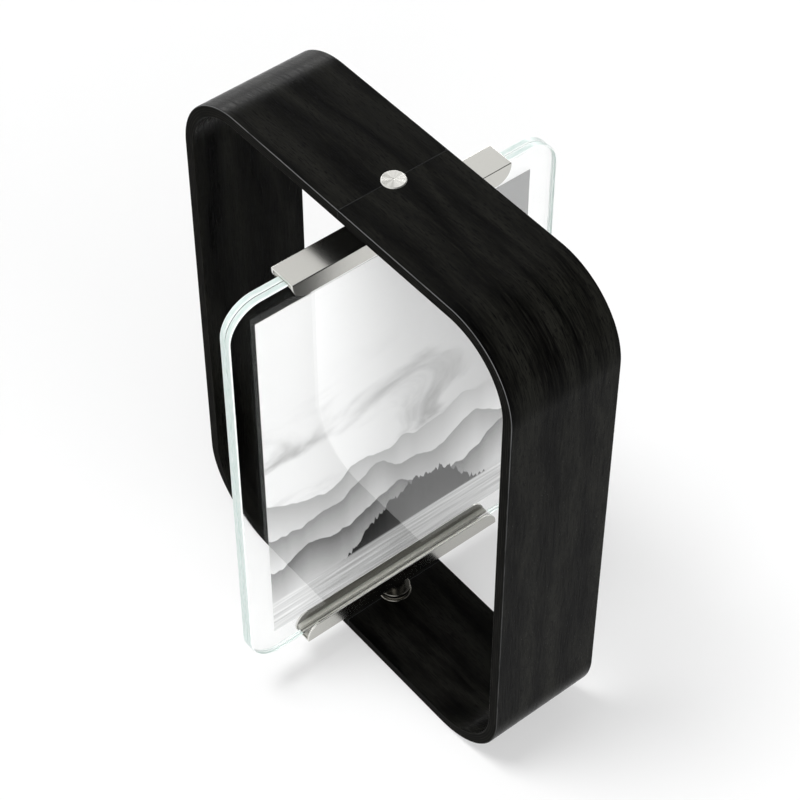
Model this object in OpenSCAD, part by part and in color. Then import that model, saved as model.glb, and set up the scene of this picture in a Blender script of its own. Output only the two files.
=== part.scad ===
// Tabletop photo frame: a bent wood stand in which a glass photo holder turns on a vertical pivot.
// Lengths are in millimetres. The origin is the middle of the footprint, on the table.
// X runs across the stand, Y through its depth and Z up. At rest the print faces +X.

/* [Wood stand] */
// Width over the two sides
stand_w = 188; // [170:1:260]
// Depth of the band
band_d = 50; // [40:1:80]
// Thickness of the bent wood
wall_t = 5; // [4.5:0.5:8]
// Outer radius of the four bends
bend_r = 33.5; // [20:0.5:50]
// Chamfer along the long edges of the band
arris = 0.5; // [0.2:0.1:1]
// Glue line between the two bent halves
seam_gap = 0.1; // [0.05:0.05:0.3]

/* [Seam splines] */
// Width of a spline across the seam
spline_w = 10; // [6:1:16]
// Thickness of a spline
spline_t = 1.6; // [1:0.1:2.4]
// Wood left between a spline and the pivot hole or the band's edge
spline_margin = 3; // [2:0.5:6]
// Glue room around a spline
spline_clear = 0.05; // [0.02:0.01:0.1]

/* [Foot pads] */
// Diameter of a foot pad
pad_d = 10; // [6:1:16]
// Thickness of a foot pad
pad_t = 0.8; // [0.5:0.1:2]
// Distance from a pad to the end of the flat base and to the band's edge
pad_inset = 3; // [1:0.5:8]

/* [Glass and print] */
// Width of a glass pane
glass_w = 151.5; // [130:0.5:160]
// Height of a glass pane
glass_h = 202; // [185:1:204]
// Thickness of one pane
pane_t = 2.75; // [2:0.25:3.25]
// Corner radius of a pane
glass_r = 14.5; // [6:0.5:24]
// Seamed edge of a pane
pane_arris = 0.45; // [0.2:0.05:0.8]
// Width of the print
print_w = 127; // [90:1:127]
// Height of the print
print_h = 178; // [120:1:180]
// Thickness of the print's paper
paper_t = 0.25; // [0.15:0.05:0.4]
// Air between the paper and each pane
paper_gap = 0.05; // [0.02:0.01:0.1]

/* [Holder channels] */
// Length of a channel
channel_l = 100; // [60:1:120]
// Width over a channel's two flanges
channel_w = 12.4; // [11:0.1:16]
// Height of a flange, from the outside of the web
flange_h = 7.9; // [6:0.1:12]
// Thickness of the channel's metal
sheet_t = 1; // [0.6:0.1:1.5]
// Radius on the outer corners of the section
corner_r = 0.4; // [0.2:0.1:0.8]
// Radius of a flange's rounded end
flange_end_r = 6.8; // [3:0.1:6.8]
// Chamfer along a flange's free edge
flange_ease = 0.2; // [0.1:0.05:0.3]

/* [Glazing liners] */
// Thickness of the liner under the glass edge
liner_base_t = 1.25; // [0.8:0.05:2]
// Height of the liner's lips beside the panes
liner_lip_h = 0.9; // [0.5:0.1:3]
// Distance from the liner's end to the channel's end
liner_end_room = 0.5; // [0.5:0.5:5]
// Room around the liner
liner_clear = 0.03; // [0.02:0.01:0.1]

/* [Swivel] */
// Length of a pivot post, from the collar's face to the channel
post_l = 10.1; // [8:0.1:16]
// Diameter of the pivot hole through the wood
pivot_hole_d = 9.8; // [9:0.1:12]
// Room between the wood and the bush or cap
press_gap = 0.05; // [0.02:0.01:0.08]
// Diameter of the bush's flange
bush_flange_d = 14; // [12:0.5:18]
// Thickness of the bush's flange
bush_flange_t = 1; // [0.6:0.1:1.5]
// Height of the screw's recess in the bush above its floor
recess_h = 1.9; // [1.9:0.1:2.2]
// Diameter of the screw's recess in the bush
recess_d = 7.6; // [7.5:0.1:8]
// Height of a cover cap
cap_h = 1.7; // [1.2:0.1:2]
// How far a cover cap stands out of the wood
cap_proud = 0.3; // [0.1:0.1:0.6]
// Bevel around a cap's face
cap_bevel = 0.4; // [0.2:0.05:0.6]
// Diameter of the small turning centre in a cap's face
cap_centre_d = 0.9; // [0.5:0.1:1.5]
// Diameter of the screw's smooth shoulder
shoulder_d = 4; // [3:0.5:5]
// Diameter of the screw's thread
thread_d = 3; // [2:0.5:4]
// Depth that the thread reaches into the post
thread_l = 6; // [3:0.5:7]
// Diameter of the screw's head
head_d = 7; // [6:0.1:7.2]
// Thickness of the screw's head
head_t = 1.5; // [1:0.1:1.5]
// Width across corners of the screw's hexagon socket
socket_d = 2.8; // [2:0.1:3.2]
// Depth of the hexagon socket
socket_depth = 1; // [0.5:0.1:1.1]
// Radial running clearance of the shoulder in the bush
running_clear = 0.05; // [0.02:0.01:0.1]
// End play of the holder at each pivot
end_play = 0.1; // [0.05:0.05:0.2]
// Thickness of the upper thrust washer
top_washer_t = 0.3; // [0.2:0.1:0.8]
// Thickness of the lower thrust washer, which carries the holder
bottom_washer_t = 0.8; // [0.5:0.1:1.2]
// Diameter of a thrust washer
washer_d = 11; // [8:0.5:12]
// Diameter of the post's collar
collar_d = 13; // [10:0.5:16]
// Thickness of the post's collar
collar_t = 2; // [1:0.1:3]
// Diameter of the post's stem
stem_d = 9; // [6:0.5:10]
// Chamfer on the turned edges of the bush and the post
turned_ease = 0.3; // [0.1:0.05:0.4]

/* [Hidden] */
$fn = 96;
// Cuts run this far past the faces that they open
overrun = 1;
// Room around a screw's thread in the post, and under its tip
thread_clear = 0.03;
tip_room = 0.5;

// Stack from the table up: pad, base, lower pivot, holder, upper pivot and top
base_z = pad_t;
floor_z = base_z + wall_t;
holder_h = glass_h + 2 * (liner_base_t + sheet_t);
pivot_h = bush_flange_t + end_play + post_l;
holder_z = floor_z + bottom_washer_t + pivot_h;
holder_top_z = holder_z + holder_h;
ceiling_z = holder_top_z + pivot_h + top_washer_t;
top_z = ceiling_z + wall_t;

// Stand
stand_h = top_z - base_z;
flat_half_w = stand_w / 2 - bend_r;
side_l = stand_h - 2 * bend_r;

// Holder
sandwich_t = 2 * pane_t + paper_t + 2 * paper_gap;
pane_offset = paper_t / 2 + paper_gap;
channel_in_w = channel_w - 2 * sheet_t;
glass_z = holder_z + sheet_t + liner_base_t;
glass_mid_z = glass_z + glass_h / 2;

// Swivel
barrel_l = wall_t + cap_proud - cap_h;
bush_floor_t = bush_flange_t + barrel_l - recess_h;
bore_r = shoulder_d / 2 + running_clear;

// Cross-section of the wood band, from its inner face outwards, with its long edges chamfered
module band_section() {
    y = band_d / 2;
    polygon([
        [arris, -y], [wall_t - arris, -y], [wall_t, arris - y], [wall_t, y - arris],
        [wall_t - arris, y], [arris, y], [0, y - arris], [0, arris - y]
    ]);
}

// Straight stretch of the band, centred on the origin, with its inner face on Z = 0 and lying along X
module band_straight(length) {
    translate([-length / 2, 0, 0])
        rotate([90, 0, 90])
            linear_extrude(height = length)
                mirror([1, 0, 0])
                    rotate(90)
                        band_section();
}

// Quarter bend of the band, from the +X direction round to +Z, about the Y axis
module band_bend() {
    rotate([90, 0, 0])
        rotate_extrude(angle = 90)
            translate([bend_r - wall_t, 0])
                band_section();
}

// Half of the stand on the +X side: base, bend, side, bend and top
module bent_half_blank() {
    flat_l = flat_half_w - seam_gap / 2;
    flat_mid = seam_gap / 2 + flat_l / 2;
    side_x = stand_w / 2 - wall_t;
    translate([flat_mid, 0, ceiling_z])
        band_straight(flat_l);
    translate([flat_mid, 0, floor_z])
        mirror([0, 0, 1])
            band_straight(flat_l);
    translate([side_x, 0, base_z + stand_h / 2])
        rotate([0, 90, 0])
            band_straight(side_l);
    translate([flat_half_w, 0, top_z - bend_r])
        band_bend();
    translate([flat_half_w, 0, base_z + bend_r])
        mirror([0, 0, 1])
            band_bend();
}

// Splines across the seam, two in the top and two in the base, grown by a clearance for their slots
module spline_set(clear) {
    y0 = pivot_hole_d / 2 + spline_margin - clear;
    y_l = band_d / 2 - spline_margin + clear - y0;
    t = spline_t + 2 * clear;
    w = spline_w + 2 * clear;
    for (z = [floor_z - wall_t / 2, ceiling_z + wall_t / 2])
        for (side = [0, 1])
            mirror([0, side, 0])
                translate([-w / 2, y0, z - t / 2])
                    cube([w, y_l, t]);
}

// One half of the stand with its slots and its half of the two pivot holes
module bent_half() {
    difference() {
        bent_half_blank();
        spline_set(spline_clear);
        for (z = [base_z, ceiling_z])
            translate([0, 0, z - overrun])
                cylinder(d = pivot_hole_d, h = wall_t + 2 * overrun);
    }
}

module left_bent_half() {
    color("#1c1b19")
        mirror([1, 0, 0])
            bent_half();
}

module right_bent_half() {
    color("#1f1e1c")
        bent_half();
}

module seam_splines() {
    color("#8a6f4d")
        spline_set(0);
}

// Thin pads under the four ends of the flat base
module foot_pads() {
    pad_x = flat_half_w - pad_inset - pad_d / 2;
    pad_y = band_d / 2 - pad_inset - pad_d / 2;
    color("#2a2a2a")
        for (x = [-pad_x, pad_x])
            for (y = [-pad_y, pad_y])
                translate([x, y, 0])
                    cylinder(d = pad_d, h = pad_t);
}

// Puts a part that is drawn upwards from the inner face of the top wall at the top pivot
module at_top_pivot() {
    translate([0, 0, ceiling_z])
        children();
}

// Puts the same part, turned over, at the bottom pivot
module at_bottom_pivot() {
    translate([0, 0, floor_z])
        mirror([0, 0, 1])
            children();
}

// Bush pressed into the wood from inside: flange, barrel, bore for the shoulder and recess for the head
module flanged_bush() {
    flange_r = bush_flange_d / 2;
    barrel_r = pivot_hole_d / 2 - press_gap;
    recess_z = bush_floor_t - bush_flange_t;
    rotate_extrude()
        polygon([
            [bore_r, -bush_flange_t], [flange_r - turned_ease, -bush_flange_t],
            [flange_r, turned_ease - bush_flange_t], [flange_r, 0], [barrel_r, 0],
            [barrel_r, barrel_l], [recess_d / 2, barrel_l], [recess_d / 2, recess_z],
            [bore_r, recess_z]
        ]);
}

// Turned cap that closes the pivot hole over the screw, with a bevelled rim and a turning centre
module cover_cap() {
    cap_r = pivot_hole_d / 2 - press_gap;
    centre_r = cap_centre_d / 2;
    translate([0, 0, barrel_l])
        rotate_extrude()
            polygon([
                [0, 0], [cap_r, 0], [cap_r, cap_h - cap_bevel], [cap_r - cap_bevel, cap_h],
                [centre_r, cap_h], [0, cap_h - centre_r]
            ]);
}

// Flat washer between the bush's flange and the post's collar
module thrust_washer(thickness) {
    translate([0, 0, -bush_flange_t - thickness])
        difference() {
            cylinder(d = washer_d, h = thickness);
            translate([0, 0, -overrun])
                cylinder(r = bore_r, h = thickness + 2 * overrun);
        }
}

// Post soldered to a channel's web: stem, collar with eased edges and tapped hole for the screw
module pivot_post(washer_t) {
    stem_r = stem_d / 2;
    collar_r = collar_d / 2;
    hole_r = thread_d / 2 + thread_clear;
    end_z = -bush_flange_t - washer_t - end_play;
    translate([0, 0, end_z])
        difference() {
            rotate_extrude()
                polygon([
                    [0, 0], [collar_r - turned_ease, 0], [collar_r, -turned_ease],
                    [collar_r, turned_ease - collar_t], [collar_r - turned_ease, -collar_t],
                    [stem_r, -collar_t], [stem_r, -post_l], [0, -post_l]
                ]);
            translate([0, 0, -thread_l - tip_room])
                cylinder(r = hole_r, h = thread_l + tip_room + overrun);
        }
}

// Shoulder screw that holds the post to the bush: head with hexagon socket, shoulder and thread
module pivot_screw(washer_t) {
    head_z = bush_floor_t - bush_flange_t + end_play;
    post_z = -bush_flange_t - washer_t - end_play;
    difference() {
        rotate_extrude()
            polygon([
                [0, post_z - thread_l], [thread_d / 2, post_z - thread_l], [thread_d / 2, post_z],
                [shoulder_d / 2, post_z], [shoulder_d / 2, head_z], [head_d / 2, head_z],
                [head_d / 2, head_z + head_t - turned_ease],
                [head_d / 2 - turned_ease, head_z + head_t], [0, head_z + head_t]
            ]);
        translate([0, 0, head_z + head_t - socket_depth])
            cylinder(d = socket_d, h = socket_depth + overrun, $fn = 6);
    }
}

module top_flanged_bush() {
    color("#b9b8b2")
        at_top_pivot()
            flanged_bush();
}

module bottom_flanged_bush() {
    color("#b9b8b2")
        at_bottom_pivot()
            flanged_bush();
}

module top_cover_cap() {
    color("#dededa")
        at_top_pivot()
            cover_cap();
}

module bottom_cover_cap() {
    color("#dededa")
        at_bottom_pivot()
            cover_cap();
}

module top_thrust_washer() {
    color("#e8e6df")
        at_top_pivot()
            thrust_washer(top_washer_t);
}

module bottom_thrust_washer() {
    color("#e8e6df")
        at_bottom_pivot()
            thrust_washer(bottom_washer_t);
}

module top_pivot_post() {
    color("#aaa9a0")
        at_top_pivot()
            pivot_post(top_washer_t);
}

module bottom_pivot_post() {
    color("#aaa9a0")
        at_bottom_pivot()
            pivot_post(bottom_washer_t);
}

module top_pivot_screw() {
    color("#8f8f8c")
        at_top_pivot()
            pivot_screw(top_washer_t);
}

module bottom_pivot_screw() {
    color("#8f8f8c")
        at_bottom_pivot()
            pivot_screw(bottom_washer_t);
}

// Cross-section of a channel: web on the X axis, flanges up, with rounded outer corners
module channel_section() {
    half_w = channel_w / 2;
    difference() {
        union() {
            translate([-half_w, corner_r])
                square([channel_w, flange_h - corner_r]);
            translate([corner_r - half_w, 0])
                square([channel_w - 2 * corner_r, corner_r]);
            for (side = [-1, 1])
                translate([side * (half_w - corner_r), corner_r])
                    circle(r = corner_r);
        }
        translate([-channel_in_w / 2, sheet_t])
            square([channel_in_w, flange_h]);
        for (side = [0, 1])
            mirror([side, 0])
                polygon([
                    [half_w + overrun, flange_h - flange_ease - overrun],
                    [half_w + overrun, flange_h + overrun],
                    [half_w - flange_ease - overrun, flange_h + overrun]
                ]);
    }
}

// Side view of a channel: the web is square at its ends and the flanges are rounded off
module channel_outline() {
    half_l = channel_l / 2;
    centre_z = flange_h - flange_end_r;
    intersection() {
        union() {
            translate([-half_l, 0])
                square([channel_l, centre_z]);
            translate([flange_end_r - half_l, 0])
                square([channel_l - 2 * flange_end_r, flange_h]);
            for (side = [-1, 1])
                translate([side * (half_l - flange_end_r), centre_z])
                    circle(r = flange_end_r);
        }
        translate([-half_l, 0])
            square([channel_l, flange_h]);
    }
}

// Channel lying along Y with its web on Z = 0 and its flanges up
module channel() {
    intersection() {
        translate([0, channel_l / 2 + overrun, 0])
            rotate([90, 0, 0])
                linear_extrude(height = channel_l + 2 * overrun)
                    channel_section();
        translate([-channel_w / 2 - overrun, 0, 0])
            rotate([90, 0, 90])
                linear_extrude(height = channel_w + 2 * overrun)
                    channel_outline();
    }
}

// Grey liner in a channel: a base under the glass edge and a low lip on each side of the panes
module glazing_liner() {
    liner_l = channel_l - 2 * liner_end_room;
    liner_w = channel_in_w - 2 * liner_clear;
    slot_w = sandwich_t + 2 * liner_clear;
    base_t = liner_base_t - 2 * liner_clear;
    liner_h = base_t + liner_lip_h;
    translate([-liner_w / 2, -liner_l / 2, sheet_t + liner_clear])
        difference() {
            cube([liner_w, liner_l, liner_h]);
            translate([(liner_w - slot_w) / 2, -overrun, base_t])
                cube([slot_w, liner_l + 2 * overrun, liner_h]);
        }
}

// Puts a part that is drawn upwards from the web at the bottom of the holder
module at_holder_bottom() {
    translate([0, 0, holder_z])
        children();
}

// Puts the same part, turned over, at the top of the holder
module at_holder_top() {
    translate([0, 0, holder_top_z])
        mirror([0, 0, 1])
            children();
}

module top_channel() {
    color("#acaba2")
        at_holder_top()
            channel();
}

module bottom_channel() {
    color("#acaba2")
        at_holder_bottom()
            channel();
}

module top_glazing_liner() {
    color("#bfc0ba")
        at_holder_top()
            glazing_liner();
}

module bottom_glazing_liner() {
    color("#bfc0ba")
        at_holder_bottom()
            glazing_liner();
}

// Profile through a pane's edge, as wide as given, with both edges seamed
module pane_section(width) {
    a = pane_arris;
    w = width / 2;
    polygon([
        [-w, a], [a - w, 0], [w - a, 0], [w, a],
        [w, pane_t - a], [w - a, pane_t], [a - w, pane_t], [-w, pane_t - a]
    ]);
}

// Rounded corner of a pane with the same seamed edge, about the Z axis
module pane_corner() {
    a = pane_arris;
    rotate_extrude(angle = 90)
        polygon([
            [0, 0], [glass_r - a, 0], [glass_r, a],
            [glass_r, pane_t - a], [glass_r - a, pane_t], [0, pane_t]
        ]);
}

// Pane lying on Z = 0, centred, with its height along Y
module pane() {
    cx = glass_w / 2 - glass_r;
    cy = glass_h / 2 - glass_r;
    translate([0, cy, 0])
        rotate([90, 0, 0])
            linear_extrude(height = 2 * cy)
                pane_section(glass_w);
    translate([-cx, 0, 0])
        rotate([90, 0, 90])
            linear_extrude(height = 2 * cx)
                pane_section(glass_h);
    for (x = [0, 1])
        for (y = [0, 1])
            mirror([x, 0, 0])
                mirror([0, y, 0])
                    translate([cx, cy, 0])
                        pane_corner();
}

// Stands a part that lies on Z = 0 upright in the holder, facing +X
module upright() {
    translate([0, 0, glass_mid_z])
        rotate([90, 0, 90])
            children();
}

module front_glass_pane() {
    color("#d9efe8", 0.35)
        upright()
            translate([0, 0, pane_offset])
                pane();
}

module rear_glass_pane() {
    color("#d9efe8", 0.35)
        upright()
            translate([0, 0, -pane_offset - pane_t])
                pane();
}

module photo_print() {
    color("#c9c9c9")
        upright()
            translate([-print_w / 2, -print_h / 2, -paper_t / 2])
                cube([print_w, print_h, paper_t]);
}

left_bent_half();
right_bent_half();
seam_splines();
foot_pads();
top_flanged_bush();
bottom_flanged_bush();
top_cover_cap();
bottom_cover_cap();
top_thrust_washer();
bottom_thrust_washer();
top_channel();
bottom_channel();
top_glazing_liner();
bottom_glazing_liner();
front_glass_pane();
rear_glass_pane();
photo_print();
top_pivot_post();
bottom_pivot_post();
top_pivot_screw();
bottom_pivot_screw();
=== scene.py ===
"""Looks of the tabletop photo frame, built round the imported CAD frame.

A band of black-stained bent wood stands on the table. A print between two glass panes turns in it on a
vertical swivel. Lengths are in metres, and every piece lies where the CAD has it.
"""

import logging
import math
from dataclasses import dataclass, field
from enum import Enum
from typing import ClassVar

import bmesh
import bpy
from mathutils import Matrix, Vector


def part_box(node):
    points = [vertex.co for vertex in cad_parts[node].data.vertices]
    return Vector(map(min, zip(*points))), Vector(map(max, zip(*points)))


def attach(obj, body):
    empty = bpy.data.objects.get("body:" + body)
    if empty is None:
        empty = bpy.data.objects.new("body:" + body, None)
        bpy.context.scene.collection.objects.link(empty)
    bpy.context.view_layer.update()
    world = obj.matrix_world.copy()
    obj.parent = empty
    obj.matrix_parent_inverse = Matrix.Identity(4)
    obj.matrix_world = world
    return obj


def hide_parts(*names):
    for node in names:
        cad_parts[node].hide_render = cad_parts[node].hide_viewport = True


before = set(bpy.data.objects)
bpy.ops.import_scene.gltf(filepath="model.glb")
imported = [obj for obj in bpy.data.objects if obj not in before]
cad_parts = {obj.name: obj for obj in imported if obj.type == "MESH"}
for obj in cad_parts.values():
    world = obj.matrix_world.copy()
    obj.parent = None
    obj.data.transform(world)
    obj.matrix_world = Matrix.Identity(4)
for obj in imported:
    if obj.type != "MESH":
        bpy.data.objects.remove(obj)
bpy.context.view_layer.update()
LOG = logging.getLogger("photo_frame")
GRAIN = "grain"
MM = 0.001
# Span that the values of a noise mostly fill
NOISE_SPAN = (0.3, 0.7)
# Settings of nodes that blend colours, multiply them, or step softly between two values
BLEND = {"data_type": "RGBA", "out": 2}
TINT = BLEND | {"blend_type": "MULTIPLY"}
SOFT = {"interpolation_type": "SMOOTHSTEP"}
# Material numbers of the faces that have a piece's second and third finish
EDGE_FACE = 1
OTHER_FACE = 2

BMesh = bmesh.types.BMesh
Tree = bpy.types.NodeTree
Socket = bpy.types.NodeSocket
Pair = tuple[float, float]
Triple = tuple[float, float, float]


class End(Enum):
    """The upper and the lower end of the swivel and of the holder."""

    TOP = "top"
    BOTTOM = "bottom"

    @property
    def way(self) -> int:
        """Sign of Z that leads outwards at this end."""
        return 1 if self is End.TOP else -1

    def node(self, part: str) -> str:
        """Name the CAD node of a part at this end."""
        return f"{self.value}_{part}"


class Side(Enum):
    """The two bent halves of the stand, with the sign of X on which each lies."""

    LEFT = -1
    RIGHT = 1


def linear(code: str) -> tuple[float, float, float, float]:
    """Turn an sRGB hex code into a linear colour.

    Args:
        code: Six hex digits after a hash.

    Returns:
        Red, green, blue and an alpha of one.
    """
    parts = [int(code[i : i + 2], 16) / 255 for i in (1, 3, 5)]
    red, green, blue = (c / 12.92 if c <= 0.04045 else ((c + 0.055) / 1.055) ** 2.4 for c in parts)
    return red, green, blue, 1.0


def add_node(
    tree: Tree, kind: str, *inputs: object, named: dict | None = None, out: str | int = 0, **settings: object
) -> Socket | None:
    """Add one shader node with its settings and links.

    Args:
        tree: The node tree that gets the node.
        kind: The node's type, without the word ShaderNode.
        *inputs: What the first inputs get, in order: a value, a hex colour or another node's output.
        named: What other inputs get, by their name or number.
        out: Name or number of the output that is used.
        **settings: Properties of the node itself.

    Returns:
        The node's output, if it has one.
    """
    node = tree.nodes.new(f"ShaderNode{kind}")
    for name, value in settings.items():
        setattr(node, name, value)
    for key, value in (dict(enumerate(inputs)) | (named or {})).items():
        if isinstance(value, Socket):
            tree.links.new(value, node.inputs[key])
        else:
            node.inputs[key].default_value = linear(value) if isinstance(value, str) else value
    return node.outputs[out] if node.outputs else None


def bare_tree(owner: bpy.types.Material | bpy.types.World) -> Tree:
    """Give a material or a world an empty node tree.

    Args:
        owner: What gets the tree.

    Returns:
        The tree.
    """
    owner.use_nodes = True
    owner.node_tree.nodes.clear()
    return owner.node_tree


def add_object(name: str, data: bpy.types.ID) -> bpy.types.Object:
    """Make an object from its data and link it to the scene.

    Args:
        name: The object's name.
        data: Its mesh, lamp or camera.

    Returns:
        The new object.
    """
    thing = bpy.data.objects.new(name, data)
    bpy.context.scene.collection.objects.link(thing)
    return thing


def to_data(mesh: BMesh, name: str) -> bpy.types.Mesh:
    """Turn a mesh that was worked on into mesh data.

    Args:
        mesh: The finished mesh, which is freed.
        name: The data's name.

    Returns:
        The mesh data.
    """
    data = bpy.data.meshes.new(name)
    mesh.to_mesh(data)
    mesh.free()
    return data


def round_off(mesh: BMesh, geom: list, width: float, segments: int, affect: str = "EDGES") -> None:
    """Bevel edges or corners to a round.

    Args:
        mesh: The mesh to work on.
        geom: The edges or vertices to round.
        width: How far each is taken back.
        segments: Number of faces across the round.
        affect: EDGES or VERTICES.
    """
    bmesh.ops.bevel(
        mesh, geom=geom, offset=width, affect=affect, segments=segments, profile=0.5, material=-1
    )


def ease_edges(mesh: BMesh, width: float, segments: int = 2, over: float = 35.0) -> None:
    """Round the sharp edges of a closed mesh.

    Args:
        mesh: The mesh to work on.
        width: How far each edge is taken back.
        segments: Number of faces across an eased edge.
        over: Edges that turn by more than this many degrees are eased.
    """
    limit = math.radians(over)
    sharp = [e for e in mesh.edges if len(e.link_faces) == 2 and e.calc_face_angle() > limit]
    round_off(mesh, sharp, width, segments)


def draw_on(mesh: BMesh, faces: list, step: Triple) -> list:
    """Extrude faces in a straight line.

    Args:
        mesh: The mesh to work on.
        faces: The faces to draw on.
        step: How far to draw them.

    Returns:
        The faces at the new end.
    """
    drawn = bmesh.ops.extrude_face_region(mesh, geom=faces)["geom"]
    bmesh.ops.translate(mesh, verts=[v for v in drawn if isinstance(v, bmesh.types.BMVert)], vec=step)
    return [f for f in drawn if isinstance(f, bmesh.types.BMFace)]


def add_disc(mesh: BMesh, width: float, depth: float, place: Triple, segments: int) -> None:
    """Add an upright cylinder.

    Args:
        mesh: The mesh to work on.
        width: Diameter of the cylinder.
        depth: Its height.
        place: Its middle.
        segments: Number of its sides.
    """
    bmesh.ops.create_cone(
        mesh,
        cap_ends=True,
        segments=segments,
        radius1=width / 2,
        radius2=width / 2,
        depth=depth,
        matrix=Matrix.Translation(place),
    )


def finish_piece(
    mesh: BMesh,
    name: str,
    finish: "Finish",
    body: str,
    smooth: float = 35.0,
    cutter: BMesh | None = None,
    more: "tuple[Finish, ...]" = (),
) -> bpy.types.Object:
    """Make a piece from a mesh, dress it and let it stand for the CAD node of the same name.

    Args:
        mesh: The finished mesh, which is freed.
        name: The CAD node that the piece stands for.
        finish: The finish of its surface.
        body: The CAD body that it rides on.
        smooth: Edges that turn by less than this many degrees are shaded smooth.
        cutter: Closed shapes to cut out of the piece.
        more: Finishes of the faces that the mesh marks with material index 1 and up.

    Returns:
        The new object.
    """
    data = to_data(mesh, name)
    for look in (finish, *more):
        data.materials.append(look.material())
    piece = add_object(f"{name}.look", data)
    if cutter is not None:
        carve(piece, cutter)
        data = piece.data
    data.shade_smooth()
    data.set_sharp_from_angle(angle=math.radians(smooth))
    # Large flat faces keep their own direction next to narrow rounded edges
    normals = piece.modifiers.new("true_flats", "WEIGHTED_NORMAL")
    normals.keep_sharp = True
    normals.weight = 100
    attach(piece, body)
    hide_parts(name)
    LOG.info("%s: %d faces, %s", name, len(data.polygons), finish.name)
    return piece


def dress_node(name: str, finish: "Finish") -> None:
    """Give a CAD node, whose shape stays, its finish.

    Args:
        name: The CAD node.
        finish: The finish of its surface.
    """
    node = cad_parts[name]
    node.data.materials.clear()
    node.data.materials.append(finish.material())
    LOG.info("%s: CAD shape, %s", name, finish.name)


def carve(piece: bpy.types.Object, cutter: BMesh) -> None:
    """Cut closed shapes out of a piece and keep the result as its mesh.

    Args:
        piece: The object that is cut.
        cutter: The shapes to cut away, which are freed.
    """
    tool = add_object("cutter", to_data(cutter, "cutter"))
    cut = piece.modifiers.new("cut", "BOOLEAN")
    cut.operation = "DIFFERENCE"
    cut.solver = "EXACT"
    cut.object = tool
    graph = bpy.context.evaluated_depsgraph_get()
    carved = bpy.data.meshes.new_from_object(piece.evaluated_get(graph))
    piece.modifiers.clear()
    piece.data = carved
    bpy.data.objects.remove(tool)


@dataclass(frozen=True)
class Finish:
    """A surface finish, which makes its material once."""

    name: str

    made: ClassVar[dict[str, bpy.types.Material]] = {}

    def material(self) -> bpy.types.Material:
        """Give the finish's material, which is made on first use.

        Returns:
            The material.
        """
        if self.name not in Finish.made:
            material = bpy.data.materials.new(self.name)
            self.dress(bare_tree(material))
            Finish.made[self.name] = material
        return Finish.made[self.name]

    def dress(self, tree: Tree) -> None:
        """Add the nodes of the finish to an empty tree."""
        raise NotImplementedError


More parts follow.
